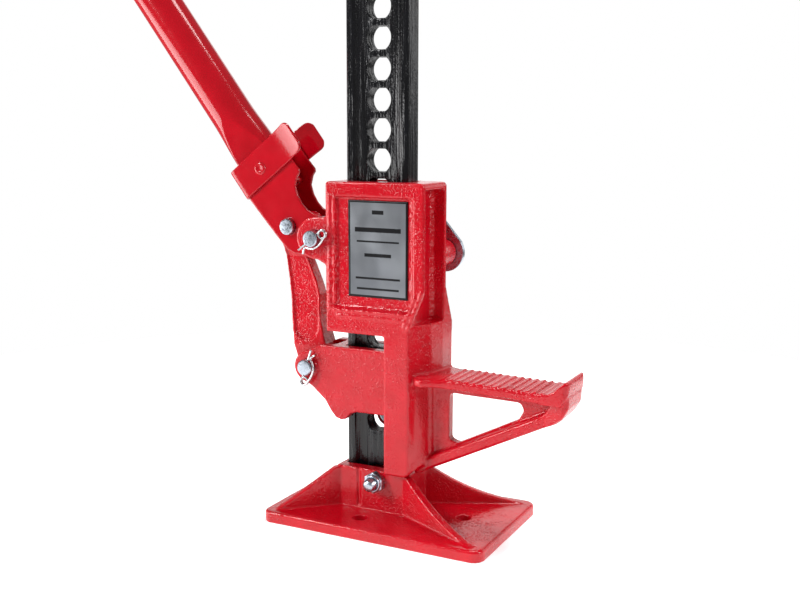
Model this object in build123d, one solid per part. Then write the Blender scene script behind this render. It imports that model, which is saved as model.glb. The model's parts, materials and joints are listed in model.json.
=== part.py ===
from build123d import *
from math import atan2, cos, degrees, radians, sin, sqrt
import os

# Rack-type lifting jack. Millimetres, +Z up, +X towards the lifting toe, -Y is the front.
# The origin is on the rack's centre line, in the plane of the base's underside.

# ---- driving dimensions ----------------------------------------------------------------
# rack bar
RACK_W, RACK_D = 50.5, 17.5
RACK_LENGTH = 1219.0
RACK_BOTTOM = 8.9
FLANGE_W = 6.0
RECESS_D = 3.0
HOLE_PITCH = 21.6
HOLE_W, HOLE_H = 19.4, 16.4
FIRST_HOLE_Z = 31.95
HOLE_COUNT = 55
BLANK_HOLES = (1,)

# base
BASE_L, BASE_W, BASE_T = 178.3, 113.3, 8.5
BASE_OFFSET = 15.6
BOX_X, BOX_Y, BOX_TOP = 29.5, 18.5, 40.0
RIB_T = 6.0
BASE_HOLE_D = 11.0
BASE_HOLES = [(0.0, -35.0), (0.0, 35.0), (68.0, 0.0), (-50.0, 0.0)]
BASE_BOLT_X = 4.7
BASE_BOLT_D = 9.5
NUT_ACROSS = 14.5
NUT_THICK = 8.0
HEAD_THICK = 6.4
GROOVE_X, GROOVE_W, GROOVE_DEEP = -11.8, 2.6, 1.4

# pivots in the plane Y = 0, as (X, Z)
HANDLE_PIVOT = (-43.5, 212.4)
LINK_PIVOT = (-73.6, 218.7)
PITMAN_PIVOT = (-54.8, 113.2)
PIN_D = 12.0
PIN_FIT = 0.05

# runners
FRONT_Y = 25.0
SLIDE_GAP = 0.85
HOUSING_TOP, HOUSING_BOTTOM = 254.5, 144.0
HOUSING_LEFT, HOUSING_RIGHT = -34.0, 46.0
COLUMN_BOTTOM = 40.5
CAVITY_X, CAVITY_Y, CAVITY_TOP = 32.4, 18.7, 151.4
EAR_IN = 12.9
SMALL_Y = 18.0
SMALL_RIGHT = 31.8
SMALL_GAP = 9.2

# climbing pins
CLIMB_D = 12.7
SHANK_D = 7.0
UPPER_PIN_Z = FIRST_HOLE_Z + 9 * HOLE_PITCH
LOWER_PIN_Z = 76.6
BOSS_END = 38.0
SHANK_END = 54.0
CROSS_Y = 49.0
CROSS_D = 4.0
PIN_TIP, PIN_SHOULDER = -5.0, 15.0
SPRING_WIRE, SPRING_TURNS = 1.1, 4.5
LOWER_PIN_BACK = 11.1

# handle
LEAN = 37.6
PIVOT_OFFSET = 15.4
TUBE_D, TUBE_WALL = 33.0, 3.0
HANDLE_REACH = 760.0
SHEET = 2.5
PLATE_IN = 10.0
COLLAR_LOW, COLLAR_HIGH = 61.0, 86.0
WALL_LOW = 46.0
PITMAN_HALF, PITMAN_THIN = 8.5, 5.5

# latch
LATCH_X, LATCH_Z = 33.0, 200.0
LATCH_BOLT_D, LATCH_BOLT_END = 8.0, 13.0


# ---- helpers ---------------------------------------------------------------------------
def block(x0, x1, y0, y1, z0, z1):
    """A box from its two corners."""
    return Pos((x0 + x1) / 2, (y0 + y1) / 2, (z0 + z1) / 2) * Box(x1 - x0, y1 - y0, z1 - z0)


def rod_y(x, z, diameter, y0, y1):
    """A round bar along Y."""
    return Pos(x, (y0 + y1) / 2, z) * Rot(90, 0, 0) * Cylinder(diameter / 2, y1 - y0)


def rod_x(y, z, diameter, x0, x1):
    """A round bar along X."""
    return Pos((x0 + x1) / 2, y, z) * Rot(0, 90, 0) * Cylinder(diameter / 2, x1 - x0)


def plate_xz(outline, y0, y1):
    """A flat plate: an outline of (X, Z) points or a face on XY, given thickness along Y."""
    face = outline if isinstance(outline, (Face, Sketch)) else make_face(Polyline(*outline, close=True))
    solid = extrude(face, y1 - y0)
    return Pos(0, y1, 0) * Rot(90, 0, 0) * solid


def softened(solid, radius, chooser):
    """Round the chosen edges by the largest of three radii that the shape accepts."""
    edges = chooser(solid)
    for size in (radius, radius * 0.6, radius * 0.3):
        try:
            return fillet(edges, size)
        except Exception:
            continue
    return solid


def hex_nut_y(x, z, across, y0, y1, bore):
    """A hexagonal nut or bolt head along Y, two of its corners straight up and down."""
    outline = RegularPolygon(across / 2, 6, major_radius=False, rotation=30)
    body = extrude(outline, y1 - y0)
    body = chamfer(body.edges().group_by(Axis.Z)[-1], 0.8)
    if bore:
        body -= Cylinder(bore / 2, 4 * (y1 - y0))
    return Pos(x, y1, z) * Rot(90, 0, 0) * body


def at_handle(s, t):
    """(X, Z) of a point s up the leaning handle and t to its right, from the pivot's foot."""
    lean = radians(LEAN)
    foot_x = HANDLE_PIVOT[0] - PIVOT_OFFSET * cos(lean)
    foot_z = HANDLE_PIVOT[1] - PIVOT_OFFSET * sin(lean)
    return (foot_x - s * sin(lean) + t * cos(lean), foot_z + s * cos(lean) + t * sin(lean))


# ---- rack and base ---------------------------------------------------------------------
def rack_hole_face():
    """An oblong hole: a circle with a flat top and bottom."""
    return Circle(HOLE_W / 2) & Rectangle(HOLE_W, HOLE_H)


def rack_bar():
    half_w, half_d = RACK_W / 2, RACK_D / 2
    edge = half_w - FLANGE_W
    foot = edge - RECESS_D
    web = half_d - RECESS_D
    side = [(-half_w, -half_d), (-edge, -half_d), (-foot, -web), (foot, -web), (edge, -half_d)]
    side += [(half_w, -half_d), (half_w, half_d), (edge, half_d), (foot, web), (-foot, web)]
    side += [(-edge, half_d), (-half_w, half_d)]
    bar = Pos(0, 0, RACK_BOTTOM) * extrude(make_face(Polyline(*side, close=True)), RACK_LENGTH)
    bar = chamfer(bar.edges().filter_by(Axis.Z).group_by(lambda e: abs(e.center().X))[-1], 1.0)
    cutter = Pos(0, half_d, 0) * Rot(90, 0, 0) * extrude(rack_hole_face(), RACK_D)
    for i in range(HOLE_COUNT):
        if i not in BLANK_HOLES:
            bar -= Pos(0, 0, FIRST_HOLE_Z + i * HOLE_PITCH) * cutter
    return bar


def gusset(x_sign, y_sign):
    """A diagonal rib with a hollow top edge, from the socket's corner to the plate's corner."""
    root = (x_sign * (BOX_X - 4), y_sign * (BOX_Y - 4))
    tip = (BASE_OFFSET + x_sign * (BASE_L / 2 - 9), y_sign * (BASE_W / 2 - 7))
    run = sqrt((tip[0] - root[0]) ** 2 + (tip[1] - root[1]) ** 2)
    low, high = BASE_T - 0.5, BOX_TOP - 1.5
    top = ThreePointArc((7, high), (run * 0.42, 38.9 - 0.2 * run), (run, BASE_T + 0.4))
    rest = Polyline((run, BASE_T + 0.4), (run, low), (0, low), (0, high), (7, high))
    rib = Pos(0, RIB_T / 2, 0) * Rot(90, 0, 0) * extrude(make_face([top, rest]), RIB_T)
    angle = degrees(atan2(tip[1] - root[1], tip[0] - root[0]))
    return Pos(root[0], root[1], 0) * Rot(0, 0, angle) * rib


def base_plate():
    plate = Pos(BASE_OFFSET, 0, BASE_T / 2) * Box(BASE_L, BASE_W, BASE_T)
    plate = fillet(plate.edges().filter_by(Axis.Z), 9)
    plate = fillet(plate.faces().sort_by(Axis.Z)[-1].edges(), 2)
    socket = fillet(block(-BOX_X, BOX_X, -BOX_Y, BOX_Y, BASE_T - 1, BOX_TOP).edges().filter_by(Axis.Z), 4)
    base = plate + socket
    for x_sign in (-1, 1):
        for y_sign in (-1, 1):
            base += gusset(x_sign, y_sign)
    base -= block(-RACK_W / 2 - 0.3, RACK_W / 2 + 0.3, -RACK_D / 2 - 0.3, RACK_D / 2 + 0.3, BASE_T + 0.4, 60)
    groove_end = GROOVE_X + GROOVE_W
    base -= block(GROOVE_X, groove_end, -BOX_Y - 1, -BOX_Y + GROOVE_DEEP, BASE_T + 2, BOX_TOP + 1)
    base -= rod_y(BASE_BOLT_X, FIRST_HOLE_Z, BASE_BOLT_D + 0.6, -40, 40)
    for x, y in BASE_HOLES:
        base -= Pos(x, y, BASE_T / 2) * Cylinder(BASE_HOLE_D / 2, 3 * BASE_T)
    return base


def base_bolt():
    head = hex_nut_y(BASE_BOLT_X, FIRST_HOLE_Z, NUT_ACROSS, -HEAD_THICK, 0, 0)
    head = Pos(0, BOX_Y + HEAD_THICK + 0.02, 0) * head
    shank = rod_y(BASE_BOLT_X, FIRST_HOLE_Z, BASE_BOLT_D, -BOX_Y - 13.5, BOX_Y + 1)
    return head + chamfer(shank.edges().sort_by(Axis.Y)[0], 1.2)


def base_nut():
    face = -BOX_Y - 0.02
    return hex_nut_y(BASE_BOLT_X, FIRST_HOLE_Z, NUT_ACROSS, face - NUT_THICK, face, BASE_BOLT_D)


# ---- top clamp -------------------------------------------------------------------------
CLAMP_BOLT_Z = FIRST_HOLE_Z + (HOLE_COUNT - 1) * HOLE_PITCH
RACK_TOP = RACK_BOTTOM + RACK_LENGTH
CLAMP_TOP = RACK_TOP + 34


def top_clamp():
    """A bent strap over the rack's top end, with an eye for a hook above it."""
    outline = [(-15, CLAMP_BOLT_Z - 15), (15, CLAMP_BOLT_Z - 15), (15, CLAMP_TOP - 8)]
    outline += [(8, CLAMP_TOP), (-8, CLAMP_TOP), (-15, CLAMP_TOP - 8)]
    body = plate_xz(outline, -12.2, 12.2)
    body -= block(-40, 40, -9.2, 9.2, CLAMP_BOLT_Z - 40, RACK_TOP + 0.4)
    body -= block(-40, 40, -6.0, 6.0, RACK_TOP + 10, CLAMP_TOP - 4)
    body -= rod_y(0, CLAMP_BOLT_Z, 10.4, -40, 40)
    body -= rod_y(0, RACK_TOP + 19, 14, -40, 40)
    return body


def top_clamp_bolt():
    head = hex_nut_y(0, CLAMP_BOLT_Z, 16, 12.22, 18.6, 0)
    return head + rod_y(0, CLAMP_BOLT_Z, 10, -24, 13)


def top_clamp_nut():
    return hex_nut_y(0, CLAMP_BOLT_Z, 16, -20.6, -12.22, 10)


# ---- large runner ----------------------------------------------------------------------
def column_plan(z):
    plan = [(14, -25), (33.5, -25), (36, -19), (43.5, -5.5), (46, 8), (46, 25), (14, 25)]
    return Pos(0, 0, z) * make_face(Polyline(*plan, close=True))


def housing_plan(z):
    plan = [(14, -25), (45, -25), (46, -24), (46, -5.5), (46, 8), (46, 13), (14, 17.5)]
    return Pos(0, 0, z) * make_face(Polyline(*plan, close=True))


def runner_housing():
    left = block(HOUSING_LEFT, 20, -FRONT_Y, 17.5, HOUSING_BOTTOM, HOUSING_TOP)
    right = loft([housing_plan(178), housing_plan(HOUSING_TOP)], ruled=True)
    blend = loft([column_plan(150), housing_plan(178)], ruled=True)
    column = loft([column_plan(COLUMN_BOTTOM), column_plan(150)], ruled=True)
    body = left + right + blend + column
    body = softened(body, 3.0, lambda s: s.edges().filter_by(Axis.Y).group_by(Axis.Z)[-1])
    body -= block(35, 60, -22, 9.6, 153, 250)
    return body


def pivot_ears():
    """The two ears that carry the handle's pivot pin."""
    x, z = HANDLE_PIVOT
    ear = Pos(x, z) * Circle(15.5)
    ear += Pos((x + HOUSING_LEFT + 6) / 2, z) * Rectangle(HOUSING_LEFT + 6 - x, 31)
    web = make_face(Polyline((x + 2, z - 15.4), (HOUSING_LEFT + 6, z - 22), (HOUSING_LEFT + 6, z), close=True))
    front = plate_xz(Sketch() + ear + web, -FRONT_Y, -EAR_IN)
    back = plate_xz(Sketch() + ear + web, EAR_IN, FRONT_Y)
    lip = block(HOUSING_LEFT, -18, EAR_IN, FRONT_Y, z - 22, z + 15.5)
    return front + back + lip


def toe_rib_face():
    """The toe bracket's side outline, with its window left open."""
    outline = [(34, 115.6), (131, 113.2), (148, 117), (146, 101), (136, 91), (44, 44.6), (34, 44.6)]
    window = [(57, 102.8), (112, 101.7), (114.5, 96.5), (110.5, 89.3), (63.5, 65.6), (57, 67.5)]
    face = make_face(Polyline(*outline, close=True))
    hole = make_face(Polyline(*window, close=True))
    hole = fillet(hole.vertices(), 3.5)
    return face - hole


RIDGE_PITCH, RIDGE_COUNT, RIDGE_H = 5.6, 14, 1.7
TOE_HALF = 20.0
TOE_TIP = 151.2
RIB_HALF = 4.0
STRUT_HALF = 10.0
STRUT_TIP_HALF = 15.0


def toe_top():
    """The lifting toe's top flange, its flared root and its upturned lip."""
    side = [(36, 110.0), (36, 116.0), (130, 113.4), (137, 114.4), (142.6, 117.6), (148.6, 123.8)]
    side += [(TOE_TIP - 0.4, 123.2), (TOE_TIP, 118), (150.2, 112.5), (145.5, 106.4), (136, 106.4), (128, 107.8)]
    slab = plate_xz(side, -TOE_HALF, TOE_HALF)
    slab = softened(slab, 1.6, lambda s: s.edges().filter_by(Axis.Y).group_by(Axis.Z)[-1])
    plan = Pos((36 + TOE_TIP + 0.1) / 2 - 10, 0, 100) * Rectangle(TOE_TIP + 0.1 - 16, 2 * TOE_HALF)
    slab &= extrude(fillet(plan.vertices(), 5.5), 40)
    flare_plan = [(34, -17), (38.5, -24), (44, -27), (52, -23), (62, -TOE_HALF)]
    flare_plan += [(62, TOE_HALF), (52, 23), (44, 27), (36, 27)]
    flare = Pos(0, 0, 110.0) * extrude(make_face(Polyline(*flare_plan, close=True)), 5.2)
    body = slab + flare
    slope = (113.4 - 116.0) / (130 - 36)
    for i in range(RIDGE_COUNT):
        x = 56.5 + i * RIDGE_PITCH
        z = 116.0 + slope * (x - 36)
        tooth = [(x, z - 1), (x, z), (x + RIDGE_PITCH * 0.75, z + RIDGE_H), (x + RIDGE_PITCH, z + slope * 5.6)]
        tooth += [(x + RIDGE_PITCH, z - 1)]
        body += plate_xz(tooth, -TOE_HALF + 1.0, TOE_HALF - 1.0)
    return body


def strut_tip():
    """The strut's widening end, which runs up into the toe's lip."""
    side = [(132, 88.0), (137, 90.4), (146, 96.8), (150.2, 104), (150.8, 112), (144, 112), (136, 104), (131, 97)]
    plan = [(131, -9.9), (146, -STRUT_TIP_HALF), (153, -STRUT_TIP_HALF)]
    plan += [(153, STRUT_TIP_HALF), (146, STRUT_TIP_HALF), (131, 9.9)]
    column = Pos(0, 0, 80) * extrude(make_face(Polyline(*plan, close=True)), 40)
    return plate_xz(side, -STRUT_TIP_HALF - 1, STRUT_TIP_HALF + 1) & column


def toe_strut():
    """The lower flange that carries the toe from below."""
    tip = ThreePointArc((136.5, 89.8), (145.6, 96.2), (150.2, 107.0))
    rest = Polyline((150.2, 107.0), (143, 107), (131, 97.0), (38, 51.5), (38, 41.5), (136.5, 89.8))
    bar = plate_xz(make_face([tip, rest]), -STRUT_HALF, STRUT_HALF)
    bar = softened(bar, 4.5, lambda s: s.edges().filter_by(lambda e: e.center().Z < 80 and abs(e.center().Y) > 9))
    return bar + strut_tip()


def climbing_boss(z, radius, y0):
    return rod_y(0, z, 2 * radius, y0, BOSS_END)


def bore_for_pin(z):
    """The stepped bore of a climbing pin: wide for pin and spring, narrow at the end wall."""
    return rod_y(0, z, CLIMB_D + 0.16, 0, BOSS_END - 4) + rod_y(0, z, SHANK_D + 0.16, 0, BOSS_END + 5)


def rack_passage(z0, z1):
    return block(-RACK_W / 2 - SLIDE_GAP, RACK_W / 2 + SLIDE_GAP, -RACK_D / 2 - SLIDE_GAP, RACK_D / 2 + SLIDE_GAP, z0, z1)


def large_runner():
    body = runner_housing() + pivot_ears()
    body += plate_xz(toe_rib_face(), -RIB_HALF, RIB_HALF)
    body += toe_top() + toe_strut()
    body += climbing_boss(UPPER_PIN_Z, 15, 16)
    body += rod_y(LATCH_X, LATCH_Z, 20, 12, BOSS_END)
    recess = plate_xz([(-27, 162), (37, 162), (37, 243.8), (-27, 243.8)], -FRONT_Y - 1, -FRONT_Y + 2.4)
    body -= softened(recess, 3.0, lambda s: s.edges().filter_by(Axis.Y))
    body -= rack_passage(0, 300)
    body -= block(-60, CAVITY_X, -CAVITY_Y, CAVITY_Y, 0, CAVITY_TOP)
    body -= block(-60, 13.5, -40, 40, 0, HOUSING_BOTTOM - 0.01)
    chin = [(30, COLUMN_BOTTOM - 1), (60, COLUMN_BOTTOM - 1), (60, 62), (45, 52)]
    body -= plate_xz(chin, -40, -STRUT_HALF) + plate_xz(chin, STRUT_HALF, 40)
    below_strut = [(37, COLUMN_BOTTOM - 1), (60, COLUMN_BOTTOM - 1), (60, 52.3), (37, 41.0)]
    body -= plate_xz(below_strut, -40, 40)
    body -= rod_y(*HANDLE_PIVOT, PIN_D + 2 * PIN_FIT, -40, 40)
    body -= bore_for_pin(UPPER_PIN_Z)
    return body - rod_y(LATCH_X, LATCH_Z, LATCH_BOLT_D, LATCH_BOLT_END, 60)


def data_plate():
    plate = block(-15.5, 32.5, -FRONT_Y + 1.5, -FRONT_Y + 2.4, 171.5, 241.5)
    return fillet(plate.edges().filter_by(Axis.Y), 1.5)


def clevis_pin(x, z, front, back):
    """A pin with a round head at the back and a cross hole near its front end."""
    body = rod_y(x, z, PIN_D, front, back)
    body = chamfer(body.edges().sort_by(Axis.Y)[0], 0.8)
    body += rod_y(x, z, PIN_D + 6, back, back + 4)
    return body


def clip_hole(x, z, y, angle):
    """The cross hole of a pin, for its spring clip."""
    return Pos(x, y, z) * Rot(0, -angle, 0) * Rot(0, 90, 0) * Cylinder(1.15, 40)


def spring_clip(x, z, y, angle, side):
    """A wire R-clip: a straight leg through the pin, an eye, and a bowed leg round the pin's side."""
    wire, eye, back = 0.85, 3.0, -10.0
    straight = Line((14.5, 0), (back, 0))
    loop = ThreePointArc((back, 0), (back - eye, side * eye), (back, side * 2 * eye))
    bow = Spline((back, side * 2 * eye), (-3.0, side * 7.6), (3.5, side * 6.8), (8.2, side * 2.1),
                 (12.6, side * 4.6), tangents=((1, 0), (1, side)))
    path = Wire([straight, loop, bow])
    profile = Plane(origin=straight @ 0, z_dir=straight % 0) * Circle(wire)
    clip = sweep(profile, path, transition=Transition.ROUND)
    return Pos(x, y, z) * Rot(0, -angle, 0) * Rot(90, 0, 0) * clip


HANDLE_CLIP_Y, HANDLE_CLIP_ANGLE = -28.6, 218.0
PITMAN_CLIP_Y, PITMAN_CLIP_ANGLE = -20.9, 70.0


def handle_pivot_pin():
    pin = clevis_pin(*HANDLE_PIVOT, -32.0, FRONT_Y + 0.02)
    return pin - clip_hole(*HANDLE_PIVOT, HANDLE_CLIP_Y, HANDLE_CLIP_ANGLE)


def handle_pivot_clip():
    return spring_clip(*HANDLE_PIVOT, HANDLE_CLIP_Y, HANDLE_CLIP_ANGLE, 1)


def latch_bolt():
    """The shoulder screw that the reversing latch turns on."""
    body = rod_y(LATCH_X, LATCH_Z, LATCH_BOLT_D, LATCH_BOLT_END, 43.2)
    head = hex_nut_y(LATCH_X, LATCH_Z, 13, -5.3, 0, 0)
    return body + Pos(0, 43.2 + 5.3, 0) * head


def latch_washer():
    ring = rod_y(LATCH_X, LATCH_Z, 15, BOSS_END + 0.02, BOSS_END + 0.98)
    return ring - rod_y(LATCH_X, LATCH_Z, LATCH_BOLT_D + 0.1, 0, 60)


def reversing_latch():
    """A stamped lever: a round lobe on the screw and an arm with an open fork at the pin."""
    lobe = Pos(LATCH_X, LATCH_Z) * Circle(15)
    arm = make_face(Polyline((LATCH_X + 13, LATCH_Z + 8), (26, 231), (-2, 238.5), (-9, 233), (-6, 226.35),
                             (LATCH_X - 14, LATCH_Z + 2), close=True))
    face = Sketch() + lobe + arm
    face -= Pos(0, UPPER_PIN_Z) * Circle(5.2)
    face -= make_face(Polyline((-5.2, UPPER_PIN_Z), (5.2, UPPER_PIN_Z), (-4, 205), (-26, 212), close=True))
    plate = plate_xz(face, 39.0, 42.2)
    tab = block(12, 26, 42, 56, 229.5, 232.5)
    plate += tab
    return plate - rod_y(LATCH_X, LATCH_Z, LATCH_BOLT_D + 0.1, 0, 60)


# ---- climbing pins and springs ---------------------------------------------------------
def climbing_pin(z, drawn_back):
    """A stepped pin: its thick end holds in the rack, its thin shank carries the spring."""
    body = rod_y(0, z, CLIMB_D, PIN_TIP, PIN_SHOULDER)
    body = chamfer(body.edges().sort_by(Axis.Y)[0], 1.6)
    body += rod_y(0, z, SHANK_D, PIN_SHOULDER - 1, SHANK_END)
    return Pos(0, drawn_back, 0) * (body - rod_x(CROSS_Y, z, CROSS_D, -30, 30))


def cross_pin(z, drawn_back):
    return rod_x(CROSS_Y + drawn_back, z, CROSS_D, -9, 9)


def pin_spring(z, drawn_back):
    """A coil spring round the pin's shank, from its shoulder to the boss's end wall."""
    y0 = PIN_SHOULDER + drawn_back + SPRING_WIRE / 2 + 0.05
    height = BOSS_END - 4 - SPRING_WIRE / 2 - 0.05 - y0
    coil = Helix(pitch=height / SPRING_TURNS, height=height, radius=5.0)
    start = Plane(origin=coil @ 0, z_dir=coil % 0)
    wire = sweep(start * Circle(SPRING_WIRE / 2), coil)
    return Pos(0, y0, z) * Rot(-90, 0, 0) * wire


# ---- small runner ----------------------------------------------------------------------
def small_runner_face():
    """Front outline: body, ear and the lobe under the left wall."""
    x, z = PITMAN_PIVOT
    ear = Pos(x, z) * Circle(12)
    top = [(x - 1, z + 12), (-44, 131), (SMALL_RIGHT, 131.6), (SMALL_RIGHT, 83.2), (-13, 82.6)]
    low = [(-18, 80.8), (-22, 76.2), (-26, 75.2), (-30.5, 76.6), (-34.5, 81), (-39.7, 89), (-51, 98.4)]
    body = make_face(Polyline(*(top + low + [(x - 2, z - 11.8)]), close=True))
    return Sketch() + ear + body


def small_runner():
    body = plate_xz(small_runner_face(), -SMALL_Y, SMALL_Y)
    body += climbing_boss(LOWER_PIN_Z, 10.2, RACK_D / 2 + SLIDE_GAP)
    body += block(-10.2, 10.2, RACK_D / 2 + SLIDE_GAP, SMALL_Y, LOWER_PIN_Z, 90)
    body -= block(-90, -35.5, -SMALL_GAP, SMALL_GAP, 60, 160)
    body -= rack_passage(0, 200)
    body -= rod_y(*PITMAN_PIVOT, PIN_D + 2 * PIN_FIT, -40, 40)
    return body - bore_for_pin(LOWER_PIN_Z)


def pitman_pin():
    pin = clevis_pin(*PITMAN_PIVOT, -24.0, SMALL_Y + 0.02)
    return pin - clip_hole(*PITMAN_PIVOT, PITMAN_CLIP_Y, PITMAN_CLIP_ANGLE)


def pitman_pin_clip():
    return spring_clip(*PITMAN_PIVOT, PITMAN_CLIP_Y, PITMAN_CLIP_ANGLE, -1)


# ---- pitman ----------------------------------------------------------------------------
EYE_TRAVEL = 8.8


def pitman():
    """The forged link between handle and small runner. Its hidden upper eye is an oval slot."""
    x1, z1 = LINK_PIVOT
    x3, z3 = PITMAN_PIVOT
    left = [(x1 - 10, z1 - 4), (-80.4, 192), (-76.4, 164), (-75.3, 147), (-73.2, 128), (x3 - 13.4, z3)]
    right = [(x3 + 13.4, z3), (-44.7, 129.3), (-47.2, 137), (-50.6, 152), (-51.3, 167.3), (-54, 177)]
    right += [(-63, 197), (-60, z1 - 6)]
    shank = make_face(Polyline(*(left + right + [(x1 + 6, z1), (x1 - 4, z1)]), close=True))
    eye = Pos(x1 - 0.2, z1) * Circle(11) + Pos(x1 + EYE_TRAVEL, z1) * Circle(11)
    eye += Pos(x1 + EYE_TRAVEL / 2, z1) * Rectangle(EYE_TRAVEL, 22)
    face = Sketch() + shank + eye + Pos(x3, z3) * Circle(13.4)
    body = plate_xz(face, -PITMAN_HALF, PITMAN_HALF)
    waist = make_face(Polyline((PITMAN_HALF, 128), (PITMAN_THIN, 176), (PITMAN_THIN, 196), (PITMAN_HALF, 206),
                               (PITMAN_HALF + 5, 206), (PITMAN_HALF + 5, 128), close=True))
    for side in (0, 180):
        body -= Rot(0, 0, side) * Pos(150, 0, 0) * extrude(Plane.YZ * waist, -300)
    slot = Sketch() + Pos(x1 - 0.3, z1) * Circle(6.4) + Pos(x1 + EYE_TRAVEL, z1) * Circle(6.4)
    slot += Pos(x1 + EYE_TRAVEL / 2 - 0.15, z1) * Rectangle(EYE_TRAVEL + 0.3, 12.8)
    for shift in (-1.6, -0.8, 0.0, 0.5):
        body -= Pos(0, 0, shift) * plate_xz(slot, -40, 40)
    return body - rod_y(x3, z3, PIN_D + 2 * PIN_FIT, -40, 40)


# ---- handle ----------------------------------------------------------------------------
def handle_plane(s, t=0.0):
    """A plane across the handle at distance s, its local X along +t and local Y along +Y."""
    x, z = at_handle(s, t)
    lean = radians(LEAN)
    return Plane(origin=(x, 0, z), x_dir=(cos(lean), 0, sin(lean)), z_dir=(-sin(lean), 0, cos(lean)))


def stadium(width, depth):
    return SlotOverall(width, depth)


def tube_outer(grow):
    round_part = handle_plane(118) * Circle(TUBE_D / 2 + grow)
    top = handle_plane(HANDLE_REACH) * Circle(TUBE_D / 2 + grow)
    flat = handle_plane(90) * stadium(36.8 + 2 * grow, 19.9 + 2 * grow)
    low = handle_plane(50) * stadium(36.8 + 2 * grow, 19.9 + 2 * grow)
    return loft([low, flat]) + loft([flat, round_part]) + loft([round_part, top])


def handle_tube():
    """The steel tube: round above, pressed flat where the socket takes it."""
    return tube_outer(0) - tube_outer(-TUBE_WALL) - rivet_shank()


RIVET_AT, RIVET_D = (72, 3), 8.0


def rivet_shank(y0=-40, y1=40):
    """The round bar of the collar's rivet."""
    return rod_y(*at_handle(*RIVET_AT), RIVET_D, y0, y1)


def plate_st(points, y0, y1):
    """A plate given by (s, t) points on the leaning handle."""
    return plate_xz([at_handle(s, t) for s, t in points], y0, y1)


def socket_outline():
    """The side plate of the socket, as (s, t): collar end, hollow edge, pivot end, back edge."""
    hollow = [(COLLAR_HIGH - 1, 28.4), (61, 28.4), (52, 29.2), (49.6, 28.0), (48.3, 24.0), (44.0, 18.6), (37, 15.9)]
    hollow += [(30, 15.2), (24, 16.0), (18.6, 18.6), (13.2, 22.8), (8.0, 23.6)]
    around = []
    for step in range(8):
        turn = radians(20 - step * 20)
        around.append((8.6 * sin(turn), PIVOT_OFFSET + 8.6 * cos(turn)))
    back = [(-6.5, 6), (-3, -3.5), (3.4, -12.6), (11, -16.8), (21.5, -17.9), (38, -19.4), (59, -21.0), (COLLAR_HIGH - 1, -21.0)]
    return hollow + around + back


def handle_socket():
    """A pressed U-channel: two side plates joined by a back wall above the link."""
    outline = socket_outline()
    body = plate_st(outline, -PLATE_IN - SHEET, -PLATE_IN) + plate_st(outline, PLATE_IN, PLATE_IN + SHEET)
    wall = [(WALL_LOW, -21.0), (WALL_LOW, -18.6), (COLLAR_HIGH - 1, -18.6), (COLLAR_HIGH - 1, -21.0)]
    body += plate_st(wall, -PLATE_IN, PLATE_IN)
    body -= rod_y(*HANDLE_PIVOT, PIN_D + 2 * PIN_FIT, -40, 40)
    return body - rod_y(*LINK_PIVOT, PIN_D, -40, 40) - rivet_shank()


COLLAR_IN = PLATE_IN + SHEET + 0.05
COLLAR_SHEET = 2.1


def back_edges(solid, back):
    """The two edges up the collar's back corners."""
    x, z = at_handle((COLLAR_LOW + COLLAR_HIGH) / 2, back)
    return solid.edges().sort_by(lambda e: abs(e.center().X - x) + abs(e.center().Z - z))[:2]


def socket_collar():
    """A strap round socket and tube, whose two flared flaps also grip the rack when stowed."""
    back = -21.05 - COLLAR_SHEET
    side = [(COLLAR_LOW, back), (COLLAR_LOW, 26), (COLLAR_HIGH, 26), (COLLAR_HIGH, back)]
    outer = COLLAR_IN + COLLAR_SHEET
    body = plate_st(side, -outer, outer)
    body = softened(body, 3.0, lambda s: back_edges(s, back))
    hollow = [(50, -21.05), (50, 60), (100, 60), (100, -21.05)]
    body -= plate_st(hollow, -COLLAR_IN, COLLAR_IN)
    for sign in (-1, 1):
        flap = [(25, sign * COLLAR_IN), (25, sign * outer), (34, sign * (outer + 1.2)), (45, sign * (outer + 4.6))]
        flap += [(45.8, sign * (outer + 2.4)), (35, sign * (COLLAR_IN + 1.0))]
        strip = make_face(Polyline(*flap, close=True))
        body += extrude(handle_plane(COLLAR_LOW) * strip, COLLAR_HIGH - COLLAR_LOW)
    return body - rivet_shank()


def collar_rivet():
    """The rivet through collar, socket plates and the flattened tube."""
    outer = COLLAR_IN + COLLAR_SHEET
    body = rivet_shank(-outer, outer)
    for side in (-1, 1):
        ends = sorted((side * outer, side * (outer + 1.2)))
        head = rod_y(*at_handle(*RIVET_AT), RIVET_D + 2, *ends)
        body += softened(head, 0.9, lambda s: s.edges().group_by(lambda e: side * e.center().Y)[-1])
    return body


def link_pin():
    """The pin that joins socket and pitman, headed at the back and peened at the front."""
    plate = PLATE_IN + SHEET
    body = rod_y(*LINK_PIVOT, PIN_D, -plate - 4.4, plate + 0.02)
    body = chamfer(body.edges().sort_by(Axis.Y)[0], 0.8)
    return body + rod_y(*LINK_PIVOT, PIN_D + 5, plate + 0.02, plate + 4)


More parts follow.
